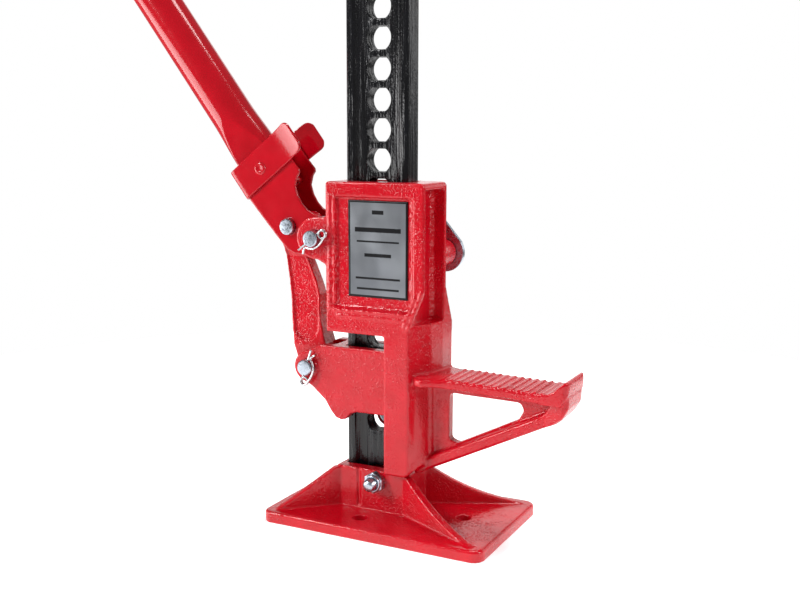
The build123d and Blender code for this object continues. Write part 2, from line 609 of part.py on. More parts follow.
PARTS = {
    "rack_bar": rack_bar,
    "base_plate": base_plate,
    "base_bolt": base_bolt,
    "base_nut": base_nut,
    "top_clamp": top_clamp,
    "top_clamp_bolt": top_clamp_bolt,
    "top_clamp_nut": top_clamp_nut,
    "large_runner": large_runner,
    "data_plate": data_plate,
    "handle_pivot_pin": handle_pivot_pin,
    "handle_pivot_clip": handle_pivot_clip,
    "latch_bolt": latch_bolt,
    "latch_washer": latch_washer,
    "reversing_latch": reversing_latch,
    "upper_climbing_pin": lambda: climbing_pin(UPPER_PIN_Z, 0),
    "upper_cross_pin": lambda: cross_pin(UPPER_PIN_Z, 0),
    "upper_pin_spring": lambda: pin_spring(UPPER_PIN_Z, 0),
    "lower_climbing_pin": lambda: climbing_pin(LOWER_PIN_Z, LOWER_PIN_BACK),
    "lower_cross_pin": lambda: cross_pin(LOWER_PIN_Z, LOWER_PIN_BACK),
    "lower_pin_spring": lambda: pin_spring(LOWER_PIN_Z, LOWER_PIN_BACK),
    "small_runner": small_runner,
    "pitman_pin": pitman_pin,
    "pitman_pin_clip": pitman_pin_clip,
    "pitman": pitman,
    "handle_tube": handle_tube,
    "handle_socket": handle_socket,
    "socket_collar": socket_collar,
    "collar_rivet": collar_rivet,
    "link_pin": link_pin,
}

os.makedirs("parts", exist_ok=True)
for name, make in PARTS.items():
    export_step(make(), f"parts/{name}.step")
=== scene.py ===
import json
import math
import random

import bmesh
import bpy
import numpy as np
from mathutils import Matrix, Vector


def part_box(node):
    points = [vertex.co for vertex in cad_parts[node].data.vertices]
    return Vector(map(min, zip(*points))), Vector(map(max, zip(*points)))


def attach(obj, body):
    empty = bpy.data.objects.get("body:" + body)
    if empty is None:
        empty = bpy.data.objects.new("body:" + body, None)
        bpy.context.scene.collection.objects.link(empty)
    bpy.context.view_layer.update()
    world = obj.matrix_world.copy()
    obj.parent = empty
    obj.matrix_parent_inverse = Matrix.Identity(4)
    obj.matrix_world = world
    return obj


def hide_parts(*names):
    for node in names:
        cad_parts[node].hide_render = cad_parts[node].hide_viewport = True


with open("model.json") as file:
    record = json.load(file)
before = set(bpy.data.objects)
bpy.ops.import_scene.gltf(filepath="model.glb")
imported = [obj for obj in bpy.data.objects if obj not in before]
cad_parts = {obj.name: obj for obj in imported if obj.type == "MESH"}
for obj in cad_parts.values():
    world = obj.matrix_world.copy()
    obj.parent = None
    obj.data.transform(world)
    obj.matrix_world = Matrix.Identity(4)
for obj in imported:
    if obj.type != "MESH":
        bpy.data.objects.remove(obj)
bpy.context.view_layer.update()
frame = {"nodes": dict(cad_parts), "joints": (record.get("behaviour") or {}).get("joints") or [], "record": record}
nodes = frame["nodes"]
joints = {j["name"]: j for j in frame["joints"]}
MM = 0.001


# ---- shader helpers --------------------------------------------------------------------
def new_material(name):
    """An empty node material with one Principled shader; gives (material, tree, shader)."""
    material = bpy.data.materials.new(name)
    material.use_nodes = True
    tree = material.node_tree
    return material, tree, tree.nodes["Principled BSDF"]


def add(tree, kind, inputs=None, **settings):
    """A node with its settings made and its inputs linked or set."""
    node = tree.nodes.new(kind)
    for key, value in settings.items():
        setattr(node, key, value)
    for key, value in (inputs or {}).items():
        if isinstance(value, bpy.types.NodeSocket):
            tree.links.new(value, node.inputs[key])
        else:
            node.inputs[key].default_value = value
    return node


def place(tree, stretch=(1, 1, 1)):
    """Object coordinates in metres: the row frame's, since each place is in the mesh."""
    at = add(tree, "ShaderNodeTexCoord").outputs["Object"]
    return add(tree, "ShaderNodeMapping", {"Vector": at, "Scale": stretch}).outputs[0]


def noise(tree, vector, per_metre, detail=2.0, roughness=0.5):
    inputs = {"Vector": vector, "Scale": per_metre, "Detail": detail, "Roughness": roughness}
    return add(tree, "ShaderNodeTexNoise", inputs).outputs["Fac"]


def span(tree, value, low, high, to_low=0.0, to_high=1.0):
    inputs = {"Value": value, "From Min": low, "From Max": high, "To Min": to_low, "To Max": to_high}
    return add(tree, "ShaderNodeMapRange", inputs).outputs["Result"]


def maths(tree, operation, a, b=0.0):
    return add(tree, "ShaderNodeMath", {0: a, 1: b}, operation=operation).outputs[0]


def mixed(tree, factor, a, b):
    """A colour between a and b."""
    return add(tree, "ShaderNodeMix", {0: factor, 6: a, 7: b}, data_type="RGBA").outputs[2]


def bump(tree, height, distance, normal=None):
    inputs = {"Height": height, "Distance": distance}
    if normal is not None:
        inputs["Normal"] = normal
    return add(tree, "ShaderNodeBump", inputs).outputs["Normal"]


def painted_edge_highlight(tree):
    """1 on convex edges and 0 elsewhere: where a lighter colour is painted on as a highlight."""
    point = add(tree, "ShaderNodeNewGeometry").outputs["Pointiness"]
    return span(tree, point, 0.53, 0.62)


# ---- materials -------------------------------------------------------------------------
CAST_RED, CAST_DEEP = (0.60, 0.0022, 0.0135, 1), (0.50, 0.0012, 0.0085, 1)
SHEET_RED, SHEET_DEEP = (0.50, 0.0012, 0.0100, 1), (0.43, 0.0008, 0.0075, 1)
# a lighter, pinker red painted on convex edges as a highlight
EDGE_HIGHLIGHT_RED = (0.74, 0.030, 0.040, 1)
BLACK_DEEP, BLACK_PALE = (0.0022, 0.0022, 0.0030, 1), (0.0055, 0.0055, 0.0075, 1)
SILVER_DULL, SILVER_BRIGHT = (0.25, 0.265, 0.29, 1), (0.40, 0.42, 0.45, 1)
PRINT_BLACK = (0.008, 0.008, 0.009, 1)


def red_enamel(name, colours, pebble, peel, gloss):
    """Gloss enamel over iron: pebble and peel are the depths of the cast skin and the paint's ripple."""
    material, tree, shader = new_material(name)
    at = place(tree)
    deep, bright = colours
    colour = mixed(tree, span(tree, noise(tree, at, 60, 3), 0.3, 0.72), deep, bright)
    # painted highlight: convex edges turn a lighter red
    colour = mixed(tree, painted_edge_highlight(tree), colour, EDGE_HIGHLIGHT_RED)
    tree.links.new(colour, shader.inputs["Base Color"])
    tree.links.new(span(tree, noise(tree, at, 140, 3), 0.3, 0.7, *gloss), shader.inputs["Roughness"])
    shader.inputs["Specular IOR Level"].default_value = 0.42
    shader.inputs["Coat Weight"].default_value = 0.1
    shader.inputs["Coat Roughness"].default_value = 0.04
    height = span(tree, noise(tree, at, 640, 1.5, 0.5), 0.5, 0.8)
    patch = span(tree, noise(tree, at, 45, 2), 0.38, 0.62, 0.25, 1.0)
    normal = bump(tree, maths(tree, "MULTIPLY", height, patch), pebble)
    normal = bump(tree, noise(tree, at, 1700, 1.5), peel, normal)
    tree.links.new(normal, shader.inputs["Normal"])
    return material


def black_enamel():
    """Gloss black paint with the long ripples of a rolled bar."""
    material, tree, shader = new_material("black_enamel")
    drawn = place(tree, (1, 1, 0.07))
    cloud = noise(tree, drawn, 260, 3)
    colour = mixed(tree, span(tree, cloud, 0.35, 0.75), BLACK_DEEP, BLACK_PALE)
    # painted highlight: convex edges turn a lighter grey
    colour = mixed(tree, painted_edge_highlight(tree), colour, (0.03, 0.03, 0.035, 1))
    tree.links.new(colour, shader.inputs["Base Color"])
    tree.links.new(span(tree, noise(tree, drawn, 120, 3), 0.3, 0.7, 0.12, 0.26), shader.inputs["Roughness"])
    normal = bump(tree, noise(tree, drawn, 300, 2, 0.5), 0.0016)
    normal = bump(tree, noise(tree, place(tree, (1, 1, 0.5)), 900, 2), 0.00022, normal)
    tree.links.new(normal, shader.inputs["Normal"])
    shader.inputs["Specular IOR Level"].default_value = 0.45
    return material


def plated(name, tint, low, high, scratch):
    """Zinc plate: fine spots, brushed scratches and an uneven gloss."""
    material, tree, shader = new_material(name)
    at = place(tree)
    spots = noise(tree, at, 520, 4, 0.6)
    dull = tuple(0.8 * c for c in tint[:3]) + (1,)
    tree.links.new(mixed(tree, span(tree, spots, 0.35, 0.65), dull, tint), shader.inputs["Base Color"])
    shader.inputs["Metallic"].default_value = 1.0
    tree.links.new(span(tree, spots, 0.3, 0.7, low, high), shader.inputs["Roughness"])
    lines = noise(tree, place(tree, (1, 1, 0.08)), 2600, 2)
    normal = bump(tree, lines, scratch)
    normal = bump(tree, noise(tree, at, 300, 2), 0.00009, normal)
    tree.links.new(normal, shader.inputs["Normal"])
    return material


def box_fade(tree, value, low, high, edge):
    """1 while value lies between low and high, fading over edge."""
    rise = span(tree, value, low, low + edge)
    fall = span(tree, value, high - edge, high, 1.0, 0.0)
    return maths(tree, "MULTIPLY", rise, fall)


def floor_with_painted_shadow(name):
    """A white floor that glows a little; the glow is cut out under the base plate as a painted shadow."""
    material, tree, shader = new_material(name)
    colour = mixed(tree, noise(tree, place(tree), 3, 2), (0.84, 0.84, 0.84, 1), (0.86, 0.86, 0.86, 1))
    tree.links.new(colour, shader.inputs["Base Color"])
    shader.inputs["Roughness"].default_value = 0.8
    shader.inputs["Specular IOR Level"].default_value = 0.1
    parts = add(tree, "ShaderNodeSeparateXYZ", {"Vector": place(tree)}).outputs
    low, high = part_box("base_plate")
    # painted shadow: the floor's glow fades to none under the base plate
    painted_shadow_mask = box_fade(tree, parts[0], low.x, high.x, 4 * MM)
    painted_shadow_mask = maths(tree, "MULTIPLY", painted_shadow_mask, box_fade(tree, parts[1], low.y, high.y, 4 * MM))
    tree.links.new(span(tree, painted_shadow_mask, 0.0, 1.0, 0.60, 0.0), shader.inputs["Emission Strength"])
    shader.inputs["Emission Color"].default_value = (1, 1, 1, 1)
    return material


def label_material(low, high):
    """Silver foil with a black border and plain printed rules, with no lettering."""
    material, tree, shader = new_material("printed_foil")
    at = place(tree)
    parts = add(tree, "ShaderNodeSeparateXYZ", {"Vector": at}).outputs
    inset, fade = 1.5 * MM, 0.25 * MM
    inside_x = box_fade(tree, parts[0], low.x + inset, high.x - inset, fade)
    inside_z = box_fade(tree, parts[2], low.z + inset, high.z - inset, fade)
    foil = maths(tree, "MULTIPLY", inside_x, inside_z)
    for share, width, thick in LABEL_RULES:
        middle, z = (low.x + high.x) / 2, low.z + share * (high.z - low.z)
        half = width * (high.x - low.x) / 2
        across = box_fade(tree, parts[0], middle - half, middle + half, fade)
        along = box_fade(tree, parts[2], z - thick / 2, z + thick / 2, fade)
        clear = maths(tree, "SUBTRACT", 1.0, maths(tree, "MULTIPLY", across, along))
        foil = maths(tree, "MULTIPLY", foil, clear)
    swirl = noise(tree, place(tree, (1, 1, 0.6)), 26, 2, 0.4)
    silver = mixed(tree, span(tree, swirl, 0.35, 0.65), SILVER_DULL, SILVER_BRIGHT)
    tree.links.new(mixed(tree, foil, PRINT_BLACK, silver), shader.inputs["Base Color"])
    tree.links.new(foil, shader.inputs["Metallic"])
    tree.links.new(span(tree, noise(tree, at, 60, 1), 0.3, 0.7, 0.28, 0.34), shader.inputs["Roughness"])
    normal = bump(tree, swirl, 0.0022)
    shader.inputs["Specular IOR Level"].default_value = 0.2
    tree.links.new(normal, shader.inputs["Normal"])
    return material


# each printed rule's height up the plate and width, as shares, and its thickness
LABEL_RULES = [(0.88, 0.20, 3.2 * MM), (0.70, 0.78, 3.6 * MM), (0.58, 0.72, 1.6 * MM)]
LABEL_RULES += [(0.44, 0.46, 2.8 * MM), (0.20, 0.76, 1.8 * MM), (0.09, 0.72, 1.8 * MM)]

cast_skin = {"pebble": 0.00042, "peel": 0.00003, "gloss": (0.10, 0.19)}
sheet_skin = {"pebble": 0.00002, "peel": 0.000006, "gloss": (0.11, 0.17)}
red_cast = red_enamel("red_cast_enamel", (CAST_DEEP, CAST_RED), **cast_skin)
red_sheet = red_enamel("red_sheet_enamel", (SHEET_DEEP, SHEET_RED), **sheet_skin)
black = black_enamel()
zinc = plated("bluish_zinc", (0.52, 0.58, 0.66, 1), low=0.22, high=0.36, scratch=0.00001)
wire = plated("bright_wire", (0.66, 0.67, 0.69, 1), low=0.20, high=0.32, scratch=0.00001)
white_floor = floor_with_painted_shadow("pale_floor")
body_of = {n: body for body, names in frame["record"]["behaviour"]["bodies"].items() for n in names}


# ---- mesh helpers ----------------------------------------------------------------------
def linked(name, mesh):
    obj = bpy.data.objects.new(name, mesh)
    bpy.context.scene.collection.objects.link(obj)
    return obj


def from_bmesh(name, bm):
    mesh = bpy.data.meshes.new(name)
    bm.normal_update()
    bm.to_mesh(mesh)
    bm.free()
    return linked(name, mesh)


def settle(obj):
    """Bake the object's modifiers into its mesh."""
    bpy.context.view_layer.update()
    done = bpy.data.meshes.new_from_object(obj.evaluated_get(bpy.context.evaluated_depsgraph_get()))
    obj.modifiers.clear()
    obj.data = done
    done.polygons.foreach_set("use_smooth", [True] * len(done.polygons))
    return obj


def modifier(obj, kind, **settings):
    made = obj.modifiers.new(kind.lower(), kind)
    for key, value in settings.items():
        setattr(made, key, value)
    return made


def bevel_edges(obj, width, segments, degrees):
    """Round the edges that turn by more than the given degrees."""
    limit = math.radians(degrees)
    modifier(obj, "BEVEL", width=width, segments=segments, limit_method="ANGLE", angle_limit=limit)


def cad_copy(name, node):
    """A copy of a CAD node's mesh with its doubled points welded."""
    bm = bmesh.new()
    bm.from_mesh(nodes[node].data)
    bmesh.ops.remove_doubles(bm, verts=bm.verts, dist=2e-6)
    return from_bmesh(name, bm)


def joined(name, objects):
    bm = bmesh.new()
    for obj in objects:
        bm.from_mesh(obj.data)
        bpy.data.objects.remove(obj)
    return from_bmesh(name, bm)


def clouds(name, size):
    texture = bpy.data.textures.new(name, "CLOUDS")
    texture.noise_scale = size
    texture.noise_depth = 2
    return texture


wave_texture, pebble_texture = clouds("wave", 18 * MM), clouds("pebble", 3.2 * MM)
STL_FACES = 195_000  # the most triangles that one piece may have


def shape_vertices(obj, move):
    """Move the mesh's points: move(points, normals) gives their shifts."""
    n = len(obj.data.vertices)
    points, normals = np.empty(n * 3, np.float32), np.empty(n * 3, np.float32)
    obj.data.vertices.foreach_get("co", points)
    obj.data.vertices.foreach_get("normal", normals)
    points = points.reshape(-1, 3)
    points = points + move(points, normals.reshape(-1, 3))
    obj.data.vertices.foreach_set("co", points.astype(np.float32).ravel())
    obj.data.update()


def cast(obj, voxel, rounds, wave=0.22 * MM, pebble=0.08 * MM, press=None):
    """Fuse and soften a rough solid into one casting with an uneven skin."""
    modifier(obj, "REMESH", mode="VOXEL", voxel_size=voxel)
    modifier(obj, "SMOOTH", factor=0.5, iterations=rounds)
    settle(obj)
    if press is not None:
        shape_vertices(obj, press)
    modifier(obj, "DISPLACE", texture=wave_texture, strength=wave, mid_level=0.5)
    modifier(obj, "DISPLACE", texture=pebble_texture, strength=pebble, mid_level=0.5)
    settle(obj)
    faces = 2 * len(obj.data.polygons)
    if faces > STL_FACES:
        modifier(obj, "DECIMATE", ratio=STL_FACES / faces)
        settle(obj)
    return obj


def finish_piece(obj, node, material):
    """Give the piece its material and body, and hide the CAD node it stands for."""
    obj.data.materials.clear()
    obj.data.materials.append(material)
    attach(obj, body_of[node])
    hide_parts(node)
    return obj


def bevelled(name, node, width, material, segments=3):
    """A CAD part with its hard edges rounded."""
    obj = cad_copy(name, node)
    bevel_edges(obj, width, segments, 28)
    modifier(obj, "WEIGHTED_NORMAL", keep_sharp=True)
    settle(obj)
    return finish_piece(obj, node, material)


def tube_along(name, points, radius, sides=12, swell=None):
    """A closed tube of round section along a line of points; swell(i) scales its radius."""
    bm = bmesh.new()
    rings = []
    up = Vector((0, 1, 0))
    for i, point in enumerate(points):
        ahead = points[min(i + 1, len(points) - 1)] - points[max(i - 1, 0)]
        ahead.normalize()
        side = ahead.cross(up)
        if side.length < 0.1:
            side = ahead.cross(Vector((1, 0, 0)))
        side.normalize()
        up = side.cross(ahead).normalized()
        r = radius * (swell(i) if swell else 1)
        ring = []
        for k in range(sides):
            turn = 2 * math.pi * k / sides
            ring.append(bm.verts.new(point + r * (math.cos(turn) * side + math.sin(turn) * up)))
        rings.append(ring)
    for a, b in zip(rings, rings[1:]):
        for k in range(sides):
            bm.faces.new((a[k], a[(k + 1) % sides], b[(k + 1) % sides], b[k]))
    bm.faces.new(rings[0][::-1])
    bm.faces.new(rings[-1])
    bmesh.ops.recalc_face_normals(bm, faces=bm.faces)
    return from_bmesh(name, bm)


def lathe_y(name, centre, profile, sides=48):
    """A turned piece about an axis along Y: profile is a list of (radius, y) from pole to pole."""
    bm = bmesh.new()
    rings = []
    for radius, y in profile:
        if radius == 0:
            rings.append([bm.verts.new((centre.x, y, centre.z))])
            continue
        ring = []
        for k in range(sides):
            turn = 2 * math.pi * k / sides
            x, z = centre.x + radius * math.cos(turn), centre.z + radius * math.sin(turn)
            ring.append(bm.verts.new((x, y, z)))
        rings.append(ring)
    for a, b in zip(rings, rings[1:]):
        for k in range(sides):
            corners = [a[k % len(a)], a[(k + 1) % len(a)], b[(k + 1) % len(b)], b[k % len(b)]]
            bm.faces.new(list(dict.fromkeys(corners)))
    bmesh.ops.recalc_face_normals(bm, faces=bm.faces)
    return from_bmesh(name, bm)


def line(a, b, step):
    """Points from a to b, about step apart."""
    count = max(2, round((b - a).length / step) + 1)
    return [a.lerp(b, i / (count - 1)) for i in range(count)]


def rough_bead(name, a, b, radius, seed):
    """A raised cast line whose thickness varies as if it were beads run together."""
    rng = random.Random(seed)
    sizes = [rng.uniform(0.55, 1.25) for _ in range(400)]
    return tube_along(name, line(a, b, 1.6 * MM), radius, 8, lambda i: sizes[i % len(sizes)])


# ---- castings --------------------------------------------------------------------------
plate_low, plate_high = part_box("data_plate")
FRONT = plate_low.y - 1.5 * MM
FIRST_SEED = 20


def large_runner():
    """The lifting runner's casting, with its raised seams and lumpy inner corners."""
    parts = [cad_copy("runner_core", "large_runner")]
    left, right = plate_low.x - 11.5 * MM, plate_high.x + 4.5 * MM
    low, high = plate_low.z - 9.5 * MM, plate_high.z + 2.3 * MM
    y = FRONT - 0.1 * MM

    # along the left edge and the foot of the housing's front
    edge = left - 3.4 * MM
    seams = [((edge, y, low), (edge, y, high), 0.8 * MM)]
    inner, deep = left + 0.6 * MM, y + 0.6 * MM
    seams += [((inner, deep, low + 4 * MM), (inner, deep, high), 1.0 * MM)]
    below = low - 1.0 * MM
    seams += [((left, y, below), (right, y, below), 0.8 * MM)]
    below = low - 5.0 * MM
    seams += [((left + 3 * MM, y, below), (right - 4 * MM, y, below), 0.6 * MM)]
    sunk, sill = y + 2.2 * MM, low + 0.6 * MM
    seams += [((left + 2 * MM, sunk, sill), (right - 1 * MM, sunk, sill), 0.9 * MM)]

    # up the toe side's pocket
    pocket = 35 * MM + 0.4 * MM
    for edge in (-21.6 * MM, 9.2 * MM):
        seams += [((pocket, edge, 156 * MM), (pocket, edge, 248 * MM), 1.3 * MM)]

    # on the slope into the column, and up the column's side
    deep = y + 0.4 * MM
    seams += [((33.3 * MM, deep, 150 * MM), (44.6 * MM, deep, 178 * MM), 1.0 * MM)]
    seams += [((29.8 * MM, y, 151 * MM), (38.6 * MM, y, 174 * MM), 0.8 * MM)]
    seams += [((43.4 * MM, -5.6 * MM, 48 * MM), (43.4 * MM, -5.6 * MM, 108 * MM), 1.0 * MM)]
    for i, (a, b, radius) in enumerate(seams):
        bead = rough_bead(f"seam_{i}", Vector(a), Vector(b), 1.3 * radius, FIRST_SEED + i)
        parts.append(bead)
    return cast(joined("large_runner_casting", parts), voxel=0.9 * MM, rounds=2)


def base_plate():
    return cast(cad_copy("base_casting", "base_plate"), voxel=0.85 * MM, rounds=2, wave=0.35 * MM)


def small_runner():
    return cast(cad_copy("small_runner_casting", "small_runner"), voxel=0.7 * MM, rounds=3)


def polygon_depth(points, outline):
    """How far each (x, z) point lies inside a closed outline, negative outside."""
    a = np.array(outline)
    b = np.roll(a, -1, axis=0)
    d = b - a
    p = points[:, None, :] - a[None]
    t = np.clip((p * d).sum(2) / (d * d).sum(1), 0, 1)
    gap = np.linalg.norm(p - t[..., None] * d, axis=2).min(1)
    x, z = points[:, 0:1], points[:, 1:2]
    crosses = (a[:, 1] > z) != (b[:, 1] > z)
    slope = np.where(d[:, 1] == 0, 1e-12, d[:, 1])
    hits = crosses & (x < a[:, 0] + (z - a[:, 1]) * d[:, 0] / slope)
    return np.where(hits.sum(1) % 2 == 1, gap, -gap)


PANEL_DEEP, PANEL_WALL = 1.5 * MM, 1.1 * MM


def pitman_panel():
    """The sunk panel on the pitman's faces: a round lower end and edges that follow the outline."""
    right = [(-63.0, 196), (-55.2, 177), (-51.8, 166.5), (-51.2, 150)]
    around = []
    for step in range(9):
        turn = math.radians(8 - step * 20)
        around.append((-62.3 + 11.2 * math.cos(turn), 142 + 11.2 * math.sin(turn)))
    left = [(-73.8, 150), (-75.2, 164), (-79.2, 190), (-82.0, 204)]
    return [(x * MM, z * MM) for x, z in right + around + left]


def pitman():
    outline = pitman_panel()

    def press(points, normals):
        depth = polygon_depth(points[:, [0, 2]], outline)
        share = np.clip(depth / PANEL_WALL, 0, 1)
        share = share * share * (3 - 2 * share) * (np.abs(normals[:, 1]) > 0.6)
        shift = np.zeros_like(points)
        shift[:, 1] = -np.sign(normals[:, 1]) * PANEL_DEEP * share
        return shift

    forging = cad_copy("pitman_forging", "pitman")
    return cast(forging, voxel=0.7 * MM, rounds=4, wave=0.3 * MM, press=press)


def top_clamp():
    return cast(cad_copy("top_clamp_casting", "top_clamp"), voxel=0.7 * MM, rounds=3, wave=0.2 * MM)


finish_piece(large_runner(), "large_runner", red_cast)
finish_piece(base_plate(), "base_plate", red_cast)
finish_piece(small_runner(), "small_runner", red_cast)
finish_piece(pitman(), "pitman", red_cast)
finish_piece(top_clamp(), "top_clamp", red_cast)


# ---- handle ----------------------------------------------------------------------------
pivot = Vector(joints["handle_swing"]["pos_m"])
lean = -math.radians(joints["handle_swing"]["range_deg"][0])
PIVOT_OFFSET = 15.4 * MM
along = Vector((-math.sin(lean), 0, math.cos(lean)))
across = Vector((math.cos(lean), 0, math.sin(lean)))


def at_handle(s, t, y):
    """A point s up the handle and t to its right, in millimetres."""
    return pivot - PIVOT_OFFSET * across + (s * along + t * across) * MM + Vector((0, y * MM, 0))


TUBE_R, TUBE_WALL, TUBE_FOOT, TUBE_TOP = 16.5, 3.0, 50.0, 760.0
FLAT_HALF, FLAT_WIDE, FLAT_END, ROUND_START = 9.95, 18.4, 88.0, 126.0
FINE_STEP, COARSE_START, COARSE_STEP = 1.6, 132, 8.0


def soft_min(a, b, blend):
    h = max(0.0, 1 - abs(a - b) / blend)
    return min(a, b) - h * h * blend / 4


def tube_ring(s, inset, sides=96):
    """The tube's section at s: a circle, cut flat front and back near its foot."""
    share = min(1.0, max(0.0, (s - FLAT_END) / (ROUND_START - FLAT_END)))
    flat = FLAT_HALF + (TUBE_R + 1.2 - FLAT_HALF) * share - inset
    ease = share * share * (3 - 2 * share)
    wide = FLAT_WIDE + (TUBE_R - FLAT_WIDE) * ease - inset
    ring = []
    for k in range(sides):
        turn = 2 * math.pi * k / sides
        y = (TUBE_R - inset) * math.sin(turn)
        y = math.copysign(soft_min(abs(y), flat, 0.45), y)
        ring.append(at_handle(s, wide * math.cos(turn), y))
    return ring


def handle_tube():
    """The long tube, pressed flat at its foot, with a rounded open end."""
    lengths = [TUBE_FOOT + i * FINE_STEP for i in range(50)]
    lengths += [COARSE_START + i * COARSE_STEP for i in range(79)]
    outer = [(s, 0) for s in lengths if s < TUBE_TOP - 1] + [(TUBE_TOP - 0.9, 0.08), (TUBE_TOP - 0.3, 0.4)]
    lip = [(TUBE_TOP, 0.9), (TUBE_TOP, TUBE_WALL - 0.6), (TUBE_TOP - 0.6, TUBE_WALL)]
    inner = [(s, TUBE_WALL) for s in reversed(lengths) if s < TUBE_TOP - 1]
    bm = bmesh.new()
    rings = [[bm.verts.new(p) for p in tube_ring(s, inset)] for s, inset in outer + lip + inner]
    sides = len(rings[0])
    for a, b in zip(rings, rings[1:] + rings[:1]):
        for k in range(sides):
            bm.faces.new((a[k], a[(k + 1) % sides], b[(k + 1) % sides], b[k]))
    bmesh.ops.recalc_face_normals(bm, faces=bm.faces)
    obj = from_bmesh("handle_tube_steel", bm)
    return settle(obj)


def handle_socket():
    obj = cad_copy("handle_socket_pressing", "handle_socket")
    return cast(obj, voxel=0.55 * MM, rounds=3, wave=0.12 * MM, pebble=0.0)


COLLAR_LOW, COLLAR_HIGH, COLLAR_Y, COLLAR_BACK, COLLAR_SHEET = 61.0, 86.0, 13.62, -22.1, 2.1
COLLAR_BEND, FLAP_END, FLAP_ROUND = 3.4, 45.0, 4.5


def collar_path():
    """The collar's middle line as (t, y): front flap, front, bent back, rear and rear flap."""
    flap = [(FLAP_END, 18.4), (42.6, 17.0), (39.6, 15.7), (36.2, 14.8)]
    flap += [(32.5, 14.2), (28.0, 13.8), (23.0, COLLAR_Y)]
    bend = COLLAR_BEND
    half = flap + [(15.0 - 5.5 * i, COLLAR_Y) for i in range(7)]
    for step in range(1, 8):
        turn = math.radians(90 * step / 7)
        half.append((COLLAR_BACK + bend - bend * math.sin(turn), COLLAR_Y - bend + bend * math.cos(turn)))
    half += [(COLLAR_BACK, 5.0), (COLLAR_BACK, 0.0)]
    return [(t, -y) for t, y in half] + [(t, y) for t, y in reversed(half[:-1])]


def socket_collar():
    """A bent strap of sheet steel with flared, round-cornered flaps."""
    path = collar_path()
    bm = bmesh.new()
    columns = []
    steps = 12
    for t, y in path:
        cut = max(0.0, t - (FLAP_END - FLAP_ROUND))
        pull = FLAP_ROUND - math.sqrt(max(0.0, FLAP_ROUND ** 2 - cut ** 2))
        low, high = COLLAR_LOW + pull, COLLAR_HIGH - pull
        heights = [low + (high - low) * i / steps for i in range(steps + 1)]
        columns.append([bm.verts.new(at_handle(s, t, y)) for s in heights])
    for a, b in zip(columns, columns[1:]):
        for i in range(steps):
            bm.faces.new((a[i], a[i + 1], b[i + 1], b[i]))
    bmesh.ops.recalc_face_normals(bm, faces=bm.faces)
    obj = from_bmesh("socket_collar_pressing", bm)
    modifier(obj, "SOLIDIFY", thickness=COLLAR_SHEET * MM, offset=0)
    bevel_edges(obj, 0.7 * MM, 3, 50)
    modifier(obj, "SUBSURF", levels=1, render_levels=1)
    return settle(obj)


def collar_rivet():
    """The rivet's two low heads, each with a shallow dimple, and its shank."""
    centre = at_handle(72, 3, 0)
    face = (COLLAR_Y + COLLAR_SHEET / 2) * MM
    head = [(0, 0.55), (1.4, 0.6), (2.6, 0.95), (3.4, 1.1), (4.3, 0.8), (4.9, 0.2), (5.0, -0.6), (4.0, -0.8)]
    profile = [(r * MM, -face - h * MM) for r, h in head]
    profile += [(r * MM, face + h * MM) for r, h in reversed(head)]
    return settle(lathe_y("collar_rivet_heads", centre, profile))


finish_piece(handle_tube(), "handle_tube", red_sheet)
finish_piece(handle_socket(), "handle_socket", red_sheet)
finish_piece(socket_collar(), "socket_collar", red_sheet)
finish_piece(collar_rivet(), "collar_rivet", red_sheet)


# ---- rack, pins and fasteners ----------------------------------------------------------
bevelled("rack_bar_rolled", "rack_bar", 0.7 * MM, black)
for pin in ("handle_pivot_pin", "pitman_pin", "link_pin", "upper_climbing_pin", "lower_climbing_pin"):
    bevelled(pin + "_turned", pin, 0.35 * MM, zinc)
for small in ("upper_cross_pin", "lower_cross_pin", "latch_washer"):
    bevelled(small + "_turned", small, 0.2 * MM, zinc)
for stamped in ("reversing_latch", "latch_bolt", "top_clamp_bolt", "top_clamp_nut"):
    bevelled(stamped + "_plated", stamped, 0.35 * MM, zinc)
for spring in ("upper_pin_spring", "lower_pin_spring"):
    coil = nodes[spring].data
    coil.materials.clear()
    coil.materials.append(wire)
    coil.polygons.foreach_set("use_smooth", [True] * len(coil.polygons))


def centre_of(node):
    low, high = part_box(node)
    return (low + high) / 2


def thread_profile(radius, y0, y1, pitch, depth):
    """The zigzag outline of a thread from y0 to y1."""
    turns = int((y1 - y0) / pitch)
    points = []
    for i in range(turns):
        y = y0 + i * pitch
        points += [(radius - depth, y), (radius - depth, y + 0.15 * pitch)]
        points += [(radius, y + 0.5 * pitch), (radius, y + 0.65 * pitch)]
    return points


BOLT_R, BOLT_HEAD_HIGH, NUT_COLLAR_HIGH = 4.75 * MM, 6.4 * MM, 2.2 * MM
THREAD_PITCH, THREAD_DEPTH = 1.5 * MM, 0.75 * MM


def base_bolt():
    """The base's bolt: a hexagon head behind and a threaded end in front."""
    low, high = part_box("base_bolt")
    nut_low, nut_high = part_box("base_nut")
    centre = centre_of("base_nut")
    radius = BOLT_R
    head_face = high.y - BOLT_HEAD_HIGH
    profile = [(0, low.y), (radius - 1.3 * MM, low.y), (radius - 0.8 * MM, low.y + 0.6 * MM)]
    profile += thread_profile(radius, low.y + 0.8 * MM, nut_high.y, THREAD_PITCH, THREAD_DEPTH)
    profile += [(radius, nut_high.y + 0.5 * MM), (radius, head_face + 1 * MM), (0, head_face + 1 * MM)]
    shank = lathe_y("base_bolt_shank", centre, profile)
    head = hexagon("base_bolt_head", centre, (nut_high.z - nut_low.z) / 2, head_face, high.y)
    return settle(joined("base_bolt_steel", [shank, head]))


